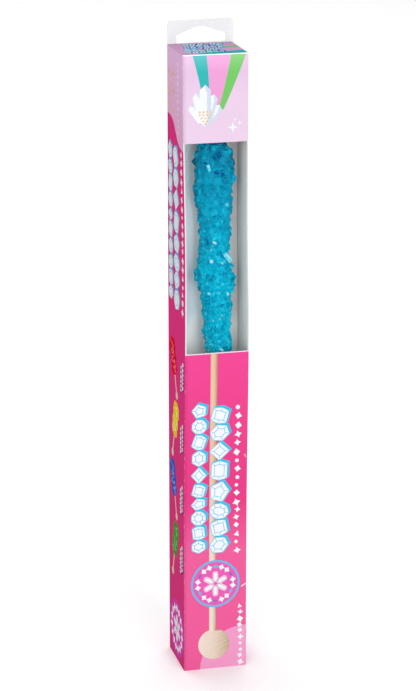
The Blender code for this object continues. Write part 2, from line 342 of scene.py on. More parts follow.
def printedBoard():
    made, tree, shader, place = newMaterial("printedBoard", Roughness=cartonInks["roughness"])
    shader.inputs["Specular IOR Level"].default_value = cartonInks["gloss"]
    split = useGroup(tree, sheetPlace, Place=place)
    across, depth, up = split["Across"], split["Depth"], split["Up"]
    facing = addNode(tree, "ShaderNodeNewGeometry").outputs["Normal"]
    facing = addNode(tree, "ShaderNodeSeparateXYZ", {0: facing}).outputs
    onFront = above(tree, maths(tree, "MULTIPLY", facing["Y"], -1.0), 0.7)
    onTop = above(tree, facing["Z"], 0.7)
    onSide = above(tree, maths(tree, "ABSOLUTE", facing["X"]), 0.7)
    onBack = above(tree, facing["Y"], 0.7)
    pink, sideColour, backColour = sideInks(tree, depth, up)
    colour = mixed(tree, onSide, pink, sideColour)
    colour = mixed(tree, onBack, colour, backColour)
    colour = mixed(tree, onTop, colour, flapInks(tree, across, depth))
    colour = mixed(tree, onFront, colour, frontInks(tree, across, up))

    # bare board: everything that faces inwards and the window's cut edge; and a white line along the front
    # panel's top edge and the flap's front strip, partly cut edge and partly a painted highlight on the fold
    outward = maths(tree, "MULTIPLY", facing["X"], across)
    outward = maths(tree, "MULTIPLY_ADD", facing["Y"], depth, outward)
    facesOut = above(tree, outward, -1.0)
    ends = maths(tree, "ABSOLUTE", maths(tree, "SUBTRACT", up, tall / 2))
    level = above(tree, maths(tree, "ABSOLUTE", facing["Z"]), 0.7)
    sill = maths(tree, "MULTIPLY", level, between(tree, ends, -1.0, tall / 2 - 0.3))
    # the white line at the front's top fold: partly bare cut edge, partly a painted highlight
    flapEdgeAndHighlight = maths(tree, "MULTIPLY", onTop, between(tree, depth, -side, 0.9 - side / 2))
    frontEdgeAndHighlight = maths(tree, "MULTIPLY", onFront, above(tree, up, tall - 0.32))
    cut = maths(tree, "MAXIMUM", flapEdgeAndHighlight, frontEdgeAndHighlight)
    bare = maths(tree, "MAXIMUM", maths(tree, "SUBTRACT", 1.0, facesOut), cut)
    worn = useGroup(tree, foldWear, Place=place, Across=across, Depth=depth)["Worn"]
    bare = maths(tree, "MAXIMUM", bare, maths(tree, "MULTIPLY", worn, 0.2))
    colour = mixed(tree, bare, colour, mixed(tree, facesOut, cartonInks["inner"], cartonInks["bare"]))
    colour = mixed(tree, sill, colour, cartonInks["cut"])
    withBoardGrain(tree, shader, place, colour)
    plug(tree, maths(tree, "MULTIPLY_ADD", bare, 0.3, cartonInks["roughness"]), shader.inputs["Roughness"])
    return made


# the inner board that shows behind the candy is plain board under painted light and shade: a painted blue
# cast to the left, a painted warm cast to the right, and painted shade lower down
insertBoard = {
    "paintedBlueCastHigh": (0.66, 0.78, 0.87), "paintedBlueCastLow": (0.465, 0.55, 0.62), "paintedWarmCast": (0.76, 0.74, 0.72),
    "paintedLightMiddle": 1.5, "paintedLightFoot": 1.7, "palest": (0.96, 0.96, 0.96),  # painted light: paler behind the candy and at the foot
    "roughness": 0.8, "gloss": 0.2,
}


def bareBoard():
    made, tree, shader, place = newMaterial("bareBoard", Roughness=insertBoard["roughness"])
    shader.inputs["Specular IOR Level"].default_value = insertBoard["gloss"]
    split = addNode(tree, "ShaderNodeSeparateXYZ", {0: place}).outputs
    across = split["X"]
    # painted light and shade: a blue cast that darkens lower down, passing into a warm cast to the right
    highShare = fade(tree, split["Z"], 210 * mm, 285 * mm)
    cool = mixed(tree, highShare, insertBoard["paintedBlueCastLow"], insertBoard["paintedBlueCastHigh"])
    colour = mixed(tree, fade(tree, across, -side / 2 * mm, side / 2 * mm), cool, insertBoard["paintedWarmCast"])
    # painted light behind the candy and at the foot, where the real shade is lifted
    fromMiddle = maths(tree, "ABSOLUTE", across)
    litBehindCandy = fade(tree, fromMiddle, 6.5 * mm, 13.5 * mm, insertBoard["paintedLightMiddle"], 1.0)
    litByFoot = fade(tree, split["Z"], 194 * mm, 216 * mm, insertBoard["paintedLightFoot"], 1.0)
    colour = toned(tree, toned(tree, colour, litBehindCandy), litByFoot)
    limits = {0: colour, 1: insertBoard["palest"]}
    lowest = addNode(tree, "ShaderNodeVectorMath", limits, operation="MINIMUM")
    withBoardGrain(tree, shader, place, lowest.outputs[0], fibre=0.8, strength=0.2)
    return made


def setMaterial(node, made):
    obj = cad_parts[node]
    for slot in obj.material_slots:
        slot.material = made
    return obj


setMaterial("carton", printedBoard())
setMaterial("insert", bareBoard())
print("board done")


# the film is nearly invisible, and the tab a little milky
film = {"alpha": 0.03, "colour": ink(40, 44, 50), "roughness": 0.06, "haze": 0.02}
hangTab = {"alpha": 0.27, "colour": (0.53, 0.53, 0.57), "roughness": 0.18, "haze": 0.06}


def clearPlastic(name, settings):
    made, tree, shader, place = newMaterial(name, Alpha=settings["alpha"], IOR=1.5)
    roughness = settings["roughness"]
    drawn = addNode(tree, "ShaderNodeMapping", {"Vector": place, "Scale": (0.25, 1.0, 1.0)}).outputs[0]
    streak = noiseAt(tree, drawn, 260.0)
    tone = fade(tree, streak, 0.3, 0.7, 1 - settings["haze"], 1.0)
    plug(tree, toned(tree, settings["colour"], tone), shader.inputs["Base Color"])
    plug(tree, fade(tree, streak, 0.3, 0.7, roughness, roughness * 1.6), shader.inputs["Roughness"])
    withBump(tree, shader, streak, 0.05)
    return made


setMaterial("window_film", clearPlastic("clearFilm", film))
setMaterial("hang_tab", clearPlastic("clearTab", hangTab))
print("film and tab done")


stickWood = {"pale": ink(236, 208, 172), "dark": ink(206, 168, 122), "roughness": 0.6}


def birch():
    made, tree, shader, place = newMaterial("birch", Roughness=stickWood["roughness"])
    drawn = addNode(tree, "ShaderNodeMapping", {"Vector": place, "Scale": (1.0, 1.0, 0.08)}).outputs[0]
    warp = noiseAt(tree, drawn, 180.0)
    grain = noiseAt(tree, drawn, 1400.0, 4.0)
    share = maths(tree, "MULTIPLY_ADD", grain, 0.5, maths(tree, "MULTIPLY", warp, 0.5))
    share = fade(tree, share, 0.35, 0.65)
    plug(tree, mixed(tree, share, stickWood["pale"], stickWood["dark"]), shader.inputs["Base Color"])
    withBump(tree, shader, grain, 0.15)
    return made


setMaterial("stick", birch())
print("stick done")


# rock candy: clear blue blocks grown over the solid bar
candy = {
    "seed": 4,
    "count": 2100,
    "foot": (0.9, 2.5), "head": (2.4, 5.6),  # smallest and largest edge at the bar's foot and head
    "sunk": 0.82,  # how much of a crystal lies inside the bar
    # from the clearest, deepest sugar to the pale faces of painted glints: place on the ramp and colour
    "ramp": (
        (0.0, ink(0, 90, 164)), (0.06, ink(0, 120, 156)), (0.25, ink(0, 158, 198)), (0.5, ink(0, 190, 228)),
        (0.85, ink(20, 224, 248)), (1.0, ink(176, 232, 250)),
    ),
    "proud": 0.34, "proudShare": 0.1,  # a few stand well out
    "proudFoot": (1.6, 2.5), "proudHead": (2.0, 3.4),
    # heights in metres, and what the tone gains below and above them: darker at the head, partly the sugar's
    # deeper colour and partly painted shade under the carton's header; paler at the foot
    "shadeByHeight": (0.25, 0.32, 0.03, -0.34), "footPale": (0.2, 0.212, 0.1, 0.0), "calm": (0.25, 0.29, 0.82, 0.45),
    "roughness": 0.25, "gloss": 0.02, "innerFacets": 700.0,
}
marked = (  # crystals with one face much paler, a painted glint, or much deeper: height, offset across, width, length, lean, tone
    (304.7, -5, 2.4, 3.4, 0.3, 1.9), (315.5, -2, 2.4, 0.9, -0.1, 1.3), (296.6, 4.7, 1.3, 1.6, 0.4, 1.7),
    (290.2, -9.4, 1.4, 3.2, 0.1, 1), (282.7, 5.9, 1.8, 2.4, 0.8, 1.4), (274.3, 1.8, 2.3, 2.2, 0.6, 1.25),
    (277.2, 4.6, 1.4, 2.2, -0.4, 1.2), (276.6, -3.1, 0.9, 1.4, 0.3, 1.1), (267.2, -7.5, 1.4, 1, -0.2, 1.1),
    (261.1, -2.2, 3.6, 1.1, -0.5, 1.3), (251.4, 5.4, 3.9, 5.6, 0.6, 1.1), (250.2, -4.3, 2.4, 1.7, 0.2, 1.2),
    (229.9, 5.3, 1.5, 2.2, 0.1, 1.25), (219.1, -7.1, 0.8, 2.6, 0.5, 1.05), (242.7, -9.2, 1.3, 1.3, 0, 1.05),
    (228.1, -6.1, 1, 1.8, -0.5, 1), (268.1, 2.9, 0.9, 1.5, 0.2, 1.05), (214, -3.2, 0.9, 1.6, 0.6, 1),
    (202.5, -0.6, 2, 1.6, 0.2, 0.95), (202.9, -6.4, 0.9, 2.2, 0.5, 0.95), (257.6, -3.6, 0.9, 3.4, -0.5, 1),
    (301.6, -0.4, 3, 2, -0.3, -0.5), (300.9, 3.2, 2.2, 1.8, -0.2, -0.45), (261.2, -6, 2.2, 2, 0.2, -0.25),
    (311.5, 1.2, 2.4, 2.2, 0.7, -0.35), (307.4, -6.4, 1.6, 1.8, 0, -0.3), (254, 1.5, 1.4, 1.6, 0.4, -0.1),
)
teeth = (  # crystals that break the outline: height, side, edge length
    (311.5, 1, 3), (296.5, 1, 2.8), (280.5, 1, 2.6), (267.6, 1, 3), (238, 1, 2.6), (221.5, 1, 2.8),
    (200, 1, 2.4), (311, -1, 2.6), (292, -1, 2.8), (284.5, -1, 2.2), (273, -1, 2.2), (239.5, -1, 2.4),
    (217.5, -1, 2.4), (205.5, -1, 2),
)


# a few habits of a sugar crystal, each a block with its edges cut: width, length, cut and skew
habits = ((1, 1, 0.1, 0.12), (0.8, 1.35, 0.14, 0.2), (1.1, 0.8, 0.08, -0.15), (0.9, 1.1, 0.12, 0))


def crystalShapes():
    shapes = []
    for width, length, cut, skew in habits:
        bm = bmesh.new()
        bmesh.ops.create_cube(bm, size=1)
        bmesh.ops.scale(bm, vec=(width, length, 0.85), verts=bm.verts[:])
        upright = [e for e in bm.edges if abs(e.verts[0].co.y - e.verts[1].co.y) > 0.5 * length]
        bmesh.ops.bevel(
            bm, geom=upright, offset=cut, offset_type="OFFSET", segments=1, profile=0.5,
            affect="EDGES", material=-1,
        )
        sheared = Matrix.Identity(4)
        sheared[0][1] = skew
        bmesh.ops.transform(bm, matrix=sheared, verts=bm.verts[:])
        bm.faces.layers.float.new("tone")
        shapes.append(bm)
    return shapes


def addCrystal(target, shape, matrix, tone, spread, chance, limits, facing=None, markTone=0.0):
    bm = shape.copy()
    bmesh.ops.transform(bm, matrix=matrix, verts=bm.verts[:])
    # the film and the inner board hold the crystals in
    front, back = limits
    shift = max(0, front - min(v.co.y for v in bm.verts)) - max(0, max(v.co.y for v in bm.verts) - back)
    bmesh.ops.translate(bm, verts=bm.verts[:], vec=(0, shift, 0))
    bm.normal_update()
    toneLayer = bm.faces.layers.float["tone"]
    for face in bm.faces:
        face[toneLayer] = tone + chance.uniform(-spread, spread)
        if chance.random() < 0.006:
            face[toneLayer] = chance.uniform(0.8, 1.15)  # a painted glint
    if facing is not None:
        max(bm.faces, key=lambda face: face.normal.dot(facing))[toneLayer] = markTone
    mesh = bpy.data.meshes.new("crystal")
    bm.to_mesh(mesh)
    bm.free()
    target.from_mesh(mesh)
    bpy.data.meshes.remove(mesh)


def turnedAnyWay(chance):
    turned = Matrix.Identity(4)
    for axis in "XYZ":
        turned = turned @ Matrix.Rotation(chance.uniform(0, math.tau), 4, axis)
    return turned


def barAxis(height):
    # the dowel's line inside the bar, in millimetres
    foot, top = Vector((7, -7.9, 10.25)), Vector((1.6, -7.9, 306))
    return foot.lerp(top, (height - foot.z) / (top.z - foot.z))


def candyCore(bm, solid):
    # the bar itself, each of its flat faces in a tone of its own
    core = bmesh.new()
    core.from_mesh(solid.data)
    bmesh.ops.remove_doubles(core, verts=core.verts[:], dist=0.002 * mm)
    toneLayer = core.faces.layers.float.new("tone")
    core.normal_update()
    for face in core.faces:
        flat = face.normal.dot(Vector((12.9, 78.2, 37.7))) + face.calc_center_median().dot(face.normal) * 900
        face[toneLayer] = 0.5 + 0.16 * math.sin(flat * 7.0)
    mesh = bpy.data.meshes.new("core")
    core.to_mesh(mesh)
    core.free()
    bm.from_mesh(mesh)
    bpy.data.meshes.remove(mesh)


def growCandy():
    chance = random.Random(candy["seed"])
    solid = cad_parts["rock_candy"]
    low, high = (corner[2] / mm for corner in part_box("rock_candy"))
    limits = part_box("window_film")[1][1] + 0.05 * mm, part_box("insert")[0][1] - 0.05 * mm
    mesh = solid.data
    tree = BVHTree.FromPolygons([v.co for v in mesh.vertices], [p.vertices for p in mesh.polygons])
    shapes = crystalShapes()
    bm = bmesh.new()
    bm.faces.layers.float.new("tone")
    candyCore(bm, solid)
    for index in range(candy["count"]):
        share = ((index + chance.random()) / candy["count"]) ** 1.8  # closer together towards the foot
        height = low + (high - low) * share
        turn = index * math.pi * (3 - math.sqrt(5)) + chance.uniform(-0.4, 0.4)
        out = Vector((math.cos(turn), math.sin(turn), 7.2 * (share - 0.5) ** 3))
        hit = tree.ray_cast(barAxis(height) * mm + out * 0.03, -out.normalized())[0]
        if hit is None:
            continue
        smallest, largest = Vector(candy["foot"]).lerp(Vector(candy["head"]), share ** 1.5)
        size = (smallest + (largest - smallest) * chance.random() ** 2.5) * mm
        proud = 0.0
        if chance.random() < candy["proudShare"]:
            least, most = Vector(candy["proudFoot"]).lerp(Vector(candy["proudHead"]), share)
            size, proud = chance.uniform(least, most) * mm, candy["proud"]
        centre = hit - out * size * (candy["sunk"] + 0.1 * share - proud - 0.5)
        matrix = Matrix.Translation(centre) @ turnedAnyWay(chance) @ Matrix.Scale(size, 4)
        tone = chance.gauss(0.52, 0.15) if chance.random() > 0.01 else 0.0
        addCrystal(bm, chance.choice(shapes), matrix, tone, 0.14, chance, limits)
    for height, way, size in teeth:
        out = Vector((way, chance.uniform(-0.3, 0.1), chance.uniform(-0.3, 0.3))).normalized()
        hit = tree.ray_cast((barAxis(height) + Vector((way * 20, 0, 0))) * mm, Vector((-way, 0, 0)))[0]
        placed = Matrix.Translation(hit - out * size * 0.06 * mm)
        matrix = placed @ turnedAnyWay(chance) @ Matrix.Scale(size * mm, 4)
        addCrystal(bm, chance.choice(shapes), matrix, 0.6, 0.12, chance, limits)
    for height, offset, width, length, lean, tone in marked:
        # a block with one marked face that looks out of the window; a pale one is a painted glint
        start = (barAxis(height) + Vector((offset, -20, 0))) * mm
        hit = tree.ray_cast(start, Vector((0, 1, 0)))[0]
        out = Vector((chance.uniform(-0.4, 0.0), -1, chance.uniform(0.1, 0.4))).normalized()
        turned = out.to_track_quat("Z", "Y").to_matrix().to_4x4() @ Matrix.Rotation(lean, 4, "Z")
        sized = Matrix.Diagonal((width * mm, length * mm, 0.5 * (width + length) * mm, 1))
        matrix = Matrix.Translation(hit + out * 0.06 * width * mm) @ turned @ sized
        addCrystal(bm, chance.choice(shapes), matrix, 0.45 + 0.2 * tone, 0.1, chance, limits, out, tone)
    return bm


def sugar():
    made, tree, shader, place = newMaterial("blueSugar", Roughness=candy["roughness"], IOR=1.54)
    shader.inputs["Specular IOR Level"].default_value = candy["gloss"]
    tone = addNode(tree, "ShaderNodeAttribute", attribute_name="tone").outputs["Fac"]
    cloud = noiseAt(tree, place, 130.0)
    fine = noiseAt(tree, place, 900.0, 2.0)
    # facets seen through the clear sugar
    inner = addNode(tree, "ShaderNodeTexVoronoi", {"Vector": place, "Scale": candy["innerFacets"]})
    inner = addNode(tree, "ShaderNodeSeparateColor", {0: inner.outputs["Color"]}).outputs[0]
    speck = maths(tree, "MULTIPLY_ADD", inner, 0.4, maths(tree, "MULTIPLY_ADD", fine, 0.3, -0.35))
    up = addNode(tree, "ShaderNodeSeparateXYZ", {0: place}).outputs["Z"]
    # painted shade at the head, partly the sugar's own deeper colour; paler at the foot
    shadeByHeight = maths(tree, "ADD", fade(tree, up, *candy["shadeByHeight"]), fade(tree, up, *candy["footPale"]))
    calm = fade(tree, up, *candy["calm"])
    tone = maths(tree, "MULTIPLY_ADD", maths(tree, "SUBTRACT", tone, 0.5), calm, 0.25)
    share = maths(tree, "MULTIPLY_ADD", cloud, 0.5, tone)
    share = maths(tree, "ADD", maths(tree, "MULTIPLY_ADD", speck, calm, share), shadeByHeight)
    plug(tree, colourRamp(tree, share, candy["ramp"]), shader.inputs["Base Color"])
    withBump(tree, shader, cloud, 0.4)
    return made


def addPiece(name, bm, made):
    mesh = bpy.data.meshes.new(name)
    bm.to_mesh(mesh)
    bm.free()
    obj = bpy.data.objects.new(name, mesh)
    bpy.context.scene.collection.objects.link(obj)
    mesh.materials.append(made)
    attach(obj, "root")
    return obj


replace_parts(addPiece("rockCandy", growCandy(), sugar()), "rock_candy")
print("candy done")


# printed figures stand a hair above the board, so that their edges stay crisp; millimetres
inkLayer = {"sunk": 0.03, "first": 0.05, "step": 0.04}
inkColours = {
    "white": ink(246, 249, 254), "shade": ink(214, 224, 242), "cyan": ink(66, 196, 236),
    "sky": ink(104, 192, 238), "teal": ink(44, 168, 190), "navy": ink(44, 60, 120),
    "violet": ink(150, 110, 205), "magenta": ink(240, 100, 186), "plum": ink(222, 74, 178),
    "ochre": ink(246, 200, 126), "wood": ink(236, 208, 182),
    "red": ink(225, 24, 50), "redLight": ink(250, 120, 124), "yellow": ink(240, 212, 40),
    "yellowLight": ink(254, 244, 150), "blue": ink(52, 92, 196), "blueLight": ink(132, 172, 246),
    "green": ink(62, 160, 52), "greenLight": ink(134, 214, 120),
}
sheets = {name: bmesh.new() for name in [*inkColours, "birchPicture"]}


def onFace(face, across, up, lift):
    # a place on one of the carton's faces, as that face is looked at, in metres
    half = side / 2
    if face == "front":
        point = given(across, -half, up)
        point.y -= lift
    elif face == "left":
        point = given(-half, -across, up)
        point.x -= lift
    elif face == "right":
        point = given(half, across, up)
        point.x += lift
    elif face == "back":
        point = Vector((-across, half + lift, up))
    else:
        point = Vector((across, up, tall + lift))
    return point * mm


def press(shape, colour, face, across, up, turn=0, layer=0):
    # lays a flat shape on a face, turned, as a thin closed plate of one ink
    bmesh.ops.transform(shape, matrix=Matrix.Rotation(turn, 4, "Z"), verts=shape.verts[:])
    thick = inkLayer["first"] + inkLayer["step"] * layer + inkLayer["sunk"]
    bmesh.ops.solidify(shape, geom=shape.faces[:], thickness=thick)
    bmesh.ops.recalc_face_normals(shape, faces=shape.faces[:])
    lowest = min(v.co.z for v in shape.verts)
    for vert in shape.verts:
        lift = vert.co.z - lowest - inkLayer["sunk"]
        vert.co = onFace(face, across + vert.co.x, up + vert.co.y, lift)
    mesh = bpy.data.meshes.new("pressed")
    shape.to_mesh(mesh)
    shape.free()
    sheets[colour].from_mesh(mesh)
    bpy.data.meshes.remove(mesh)


def disc(width, height=None, segments=40):
    bm = bmesh.new()
    bmesh.ops.create_circle(bm, cap_ends=True, segments=segments, radius=0.5)
    bmesh.ops.scale(bm, vec=(width, height or width, 1), verts=bm.verts[:])
    return bm


def bar(width, height, rows=1):
    bm = bmesh.new()
    bmesh.ops.create_grid(bm, x_segments=1, y_segments=rows, size=0.5)
    bmesh.ops.scale(bm, vec=(width, height, 1), verts=bm.verts[:])
    return bm


def star(points, width, waist):
    bm = disc(width, segments=2 * points)
    for vert in list(bm.verts)[1::2]:
        vert.co *= waist
    return bm


def facets(bm, table, gap):
    # cuts a flat shape into a table and its facets, with a gap between them
    bmesh.ops.inset_region(bm, faces=bm.faces[:], thickness=table, use_boundary=True)
    rims = bmesh.ops.inset_individual(bm, faces=bm.faces[:], thickness=gap)["faces"]
    bmesh.ops.delete(bm, geom=rims, context="FACES")
    return bm


def shard(width, height):
    # a pointed crystal seen from its side
    bm = disc(1, segments=6)
    longest = max(v.co.y for v in bm.verts)
    for vert in bm.verts:
        if abs(vert.co.y) < 0.9 * longest:
            vert.co.y *= 1.5
    reach = [max(v.co[axis] for v in bm.verts) for axis in (0, 1)]
    bmesh.ops.scale(bm, vec=(width / 2 / reach[0], height / 2 / reach[1], 1), verts=bm.verts[:])
    return bm


def halved(bm, keepRight):
    bmesh.ops.bisect_plane(
        bm, geom=[*bm.verts, *bm.edges, *bm.faces], plane_co=(0, 0, 0), plane_no=(1, 0, 0),
        clear_inner=keepRight, clear_outer=not keepRight,
    )
    return bm


gemSettings = {
    "shadowAcross": 1.15, "shadowUp": 0.95, "rim": 0.5,  # cyan shows as a shadow above right and as a rim
    "table": 0.24, "gap": 0.22,  # the table's distance from the rim, as a share of the width, and the gaps
    "kinds": (6, "shard", 8, 5, "shard", 4),
}


def gem(kind, width, height):
    return shard(width, height) if kind == "shard" else disc(width, height, segments=kind)


def pressGem(kind, width, height, face, across, up, turn=0):
    rim = gemSettings["rim"]
    for step in (0, 0.5, 1):
        press(
            gem(kind, width + rim, height + rim), "cyan", face, across + gemSettings["shadowAcross"] * step,
            up + gemSettings["shadowUp"] * step, turn, layer=1 + 0.1 * step,
        )
    cut = facets(gem(kind, width, height), gemSettings["table"] * min(width, height), gemSettings["gap"])
    press(cut, "white", face, across, up, turn, layer=2)


def gemColumn(face, across, low, high, width, seed):
    chance = random.Random(seed)
    kinds = gemSettings["kinds"]
    up = low
    index = 0
    while up < high - width * 0.5:
        kind = kinds[index % len(kinds)]
        height = width * chance.uniform(0.8, 1.1)
        wide = width * (0.78 if kind == "shard" else 1.0)
        turn = chance.uniform(-0.5, 0.5)
        pressGem(kind, wide, height, face, across, up + height / 2, turn)
        up += height + 0.3
        index += 1


def smallColumn(face, across, low, high, width, seed, step=1.25):
    # small dots, gems and stars above one another
    chance = random.Random(seed)
    up = low
    while up < high:
        size = width * chance.uniform(0.75, 1.0)
        kind = chance.random()
        if kind < 0.2:
            shape = disc(size * 0.55, segments=12)
        elif kind < 0.5:
            shape = disc(size * 0.85, size * 0.95, segments=chance.choice((3, 4, 6)))
        else:
            shape = star(4, size * 1.05, chance.choice((0.5, 0.62)))
        shift = chance.uniform(-0.1, 0.1) * width
        press(shape, "white", face, across + shift, up, chance.uniform(-0.3, 0.3), layer=2)
        up += size * step


def starColumn(face, across, low, high, width, colour, layer, seed):
    chance = random.Random(seed)
    up = low
    while up < high:
        size = width * chance.uniform(0.81, 1.0)
        press(star(4, size, 0.62), colour, face, across, up, chance.uniform(-0.3, 0.3), layer=layer)
        up += size * 0.95


def ringOf(count, across, up, reach):
    # places round a circle: number, turn, across and up
    for index in range(count):
        turn = index * math.tau / count
        yield index, turn, across - reach * math.sin(turn), up + reach * math.cos(turn)


wand = {"stickWidth": 0.12, "ballWidth": 0.34, "lumps": 6, "facets": 4}  # widths as shares of the candy's


def pressWand(face, across, up, turn, colour, length, width):
    # a small candy wand: a pale stick with a ball, and a lumpy coloured bar with lighter facets
    along = Vector((-math.sin(turn), math.cos(turn)))
    press(bar(width * wand["stickWidth"], length), "wood", face, across, up, turn)
    foot = Vector((across, up)) - along * length / 2
    press(disc(width * wand["ballWidth"], segments=14), "wood", face, foot.x, foot.y, layer=0.5)
    chance = random.Random(round(length * 10))
    for step in range(wand["lumps"]):
        spot = Vector((across, up)) + along * length * (0.02 + 0.095 * step)
        lump = disc(width * chance.uniform(0.75, 1.05), width * chance.uniform(0.55, 0.75), segments=7)
        press(lump, colour, face, spot.x, spot.y, turn + chance.uniform(-0.3, 0.3), layer=1 + 0.1 * step)
        for _ in range(wand["facets"]):
            wide, high = width * chance.uniform(0.1, 0.24), width * chance.uniform(0.1, 0.2)
            facet = disc(wide, high, chance.choice((4, 5)))
            shift = chance.uniform(-0.32, 0.32) * width
            x, y = spot.x + shift * along.y, spot.y + shift * along.x + chance.uniform(-1, 1)
            press(facet, colour + "Light", face, x, y, chance.random(), layer=2.2)


frontPrint = {
    # the wand's stick and ball at life size, under the window: across, up, width and length
    "stick": (-1.7, 110.0, 4.1, 172),
    "ball": (-0.8, 15.5, 19.2),
    # across, low end, high end, width, seed
    "gemColumns": ((-10.2, 74.0, 169.0, 9.4, 3), (2.1, 73.0, 168.5, 12.2, 8)),
    "smallColumns": ((12.9, 74.0, 168.0, 4.8, 5, 1.25), (15.2, 2.5, 41.0, 4.2, 6, 1.1)),
    "badge": (0.05, 54.0), "badgeRim": 29.8, "badgeWidth": 27.3, "petals": 4.5, "beads": 10.8,
    # the crystals of the cluster, from the back one forward: across, up, turn, width, height
    "cluster": (
        (-11.0, 336.6, 0.62, 5.0, 12.5), (-0.9, 336.2, -0.6, 4.8, 12.0), (-9.0, 340.0, 0.26, 5.6, 18.0),
        (-3.0, 339.2, -0.26, 5.4, 17.0), (-6.0, 341.0, 0.0, 6.6, 24.0),
    ),
    "sprinkles": (-6.1, 330.6), "sprinkleRows": (1, 2, 3, 4, 4), "sprinkleStep": (2.1, 1.75),
    "sprinkleWidth": 1.15,
    "sparkles": ((9.9, 328.1, 6.6), (13.9, 330.5, 3.2), (11.4, 332.6, 2.0)),
    # ends of the side's little streaks, carried round the right edge: colour, across, up, length, turn
    "streaks": (("white", 17.2, 51.6, 3.4, -1.0), ("ochre", 17.6, 132.7, 2.2, 0.5)),
}


def printFront():
    layout = frontPrint
    across, up, width, length = layout["stick"]
    press(bar(width, length, rows=60), "birchPicture", "front", across, up)
    across, up, width = layout["ball"]
    press(disc(width, segments=64), "birchPicture", "front", across, up, layer=0.5)
    for column in layout["gemColumns"]:
        gemColumn("front", *column)
    for column in layout["smallColumns"]:
        smallColumn("front", *column)
    printBadge(*layout["badge"])
    printCluster()
    for across, up, size in layout["sparkles"]:
        press(star(4, size, 0.3), "white", "front", across, up)
    for colour, across, up, length, turn in layout["streaks"]:
        press(bar(0.6, length), colour, "front", across, up, turn)


def printBadge(across, up):
    # a round badge with a crystal star in a ring of small shapes
    press(disc(frontPrint["badgeRim"], segments=72), "sky", "front", across, up, layer=1.5)
    press(disc(frontPrint["badgeWidth"], segments=72), "magenta", "front", across, up, layer=2.5)
    for index, turn, x, y in ringOf(6, across, up, frontPrint["petals"]):
        press(facets(shard(3.4, 7.2), 0.7, 0.15), "white", "front", x, y, turn, layer=3.5)
    for index, turn, x, y in ringOf(18, across, up, frontPrint["beads"]):
        if index % 3:
            press(star(4, 3.9, 0.6), "white", "front", x, y, turn, layer=3.5)
        else:
            press(disc(2.9, 1.7, 6), "violet" if index % 2 else "sky", "front", x, y, turn, layer=3.5)


def printCluster():
    # upright crystals, white with one shaded half, over rows of sprinkles
    for index, (across, up, turn, width, height) in enumerate(frontPrint["cluster"]):
        level = 1 + 0.55 * index
        press(halved(shard(width, height), False), "white", "front", across, up, turn, layer=level)
        press(halved(shard(width, height), True), "shade", "front", across, up, turn, layer=level)
        lit = shard(width * 0.5, height * 0.84)
        press(lit, "white", "front", across - 0.1 * width, up, turn, layer=level + 0.25)
    middle, low = frontPrint["sprinkles"]
    apart, rise = frontPrint["sprinkleStep"]
    for row, count in enumerate(frontPrint["sprinkleRows"]):
        for column in range(count):
            across = middle + apart * (column - (count - 1) / 2)
            dot = disc(frontPrint["sprinkleWidth"], segments=12)
            press(dot, "ochre", "front", across, low + rise * row, layer=4.5)


# both sides bear the same figures, mirrored: across counts towards the front edge
sidePrint = {
    "gemColumns": ((-12.0, 222.0, 314.0, 9.6), (0.8, 218.0, 315.0, 12.0)),
    "smallColumns": ((14.0, 220.0, 314.0, 5.0, 1.15), (8.0, 324.0, 366.0, 2.6, 1.5)),
    "sprinkles": 46, "sprinkleAcross": (-17.0, -1.5), "sprinkleUp": (333, 359), "sprinkleWidth": (0.8, 1.7),
    "wands": ("red", "yellow", "blue", "green"), "wandAcross": -4.5, "wandTurns": (0.35, -0.3),
    "wandTop": 181, "wandStep": 37.5, "wandSize": (31, 14),
    "labelAcross": (11.0, 14.6), "labelLength": 15, "labelShadow": 0.7,
    "badge": (0.8, 20.0), "badgeWidth": 36, "beads": 12.8, "petals": 5.0,
}


def printSide(face, seed):
    layout = sidePrint
    toFront = 1 if face == "left" else -1
    chance = random.Random(seed)
    for index, (across, low, high, width) in enumerate(layout["gemColumns"]):
        gemColumn(face, across * toFront, low, high, width, seed + index)
    for index, (across, low, high, width, step) in enumerate(layout["smallColumns"]):
        smallColumn(face, across * toFront, low, high, width, seed + 2 + index, step)
    for _ in range(layout["sprinkles"]):
        across = chance.uniform(*layout["sprinkleAcross"]) * toFront
        dot = disc(chance.uniform(*layout["sprinkleWidth"]), segments=10)
        press(dot, "ochre", face, across, chance.uniform(*layout["sprinkleUp"]), layer=1)
    for index, colour in enumerate(layout["wands"]):
        up = layout["wandTop"] - layout["wandStep"] * index
        turn = layout["wandTurns"][index % 2] * toFront
        length, width = layout["wandSize"]
        pressWand(face, layout["wandAcross"] * toFront, up, turn, colour, length, width)
        for row, across in enumerate(layout["labelAcross"]):
            low = up - 8 + 2 * row
            for tint, shift, layer in (("navy", layout["labelShadow"], 2), ("white", 0, 3)):
                start = low - shift
                end = start + layout["labelLength"]
                starColumn(face, across * toFront + shift, start, end, 3.2, tint, layer, seed + row)
    across, up = layout["badge"][0] * toFront, layout["badge"][1]
    press(disc(layout["badgeWidth"], segments=72), "plum", face, across, up)
    for index, turn, x, y in ringOf(15, across, up, layout["beads"]):
        press(star(4, 5.6, 0.55), "white", face, x, y, turn, layer=1)
    for index, turn, x, y in ringOf(6, across, up, layout["petals"]):
        press(facets(shard(4.2, 8.0), 0.9, 0.2), "white", face, x, y, turn, layer=1)


backPrint = {
    "gemColumns": ((-9.0, 60.0, 300.0, 11.0, 31), (6.0, 66.0, 306.0, 9.0, 32)),
    "smallColumn": (15.0, 60.0, 300.0, 4.0, 33),
}


def printBack():
    for column in backPrint["gemColumns"]:
        gemColumn("back", *column)
    smallColumn("back", *backPrint["smallColumn"])


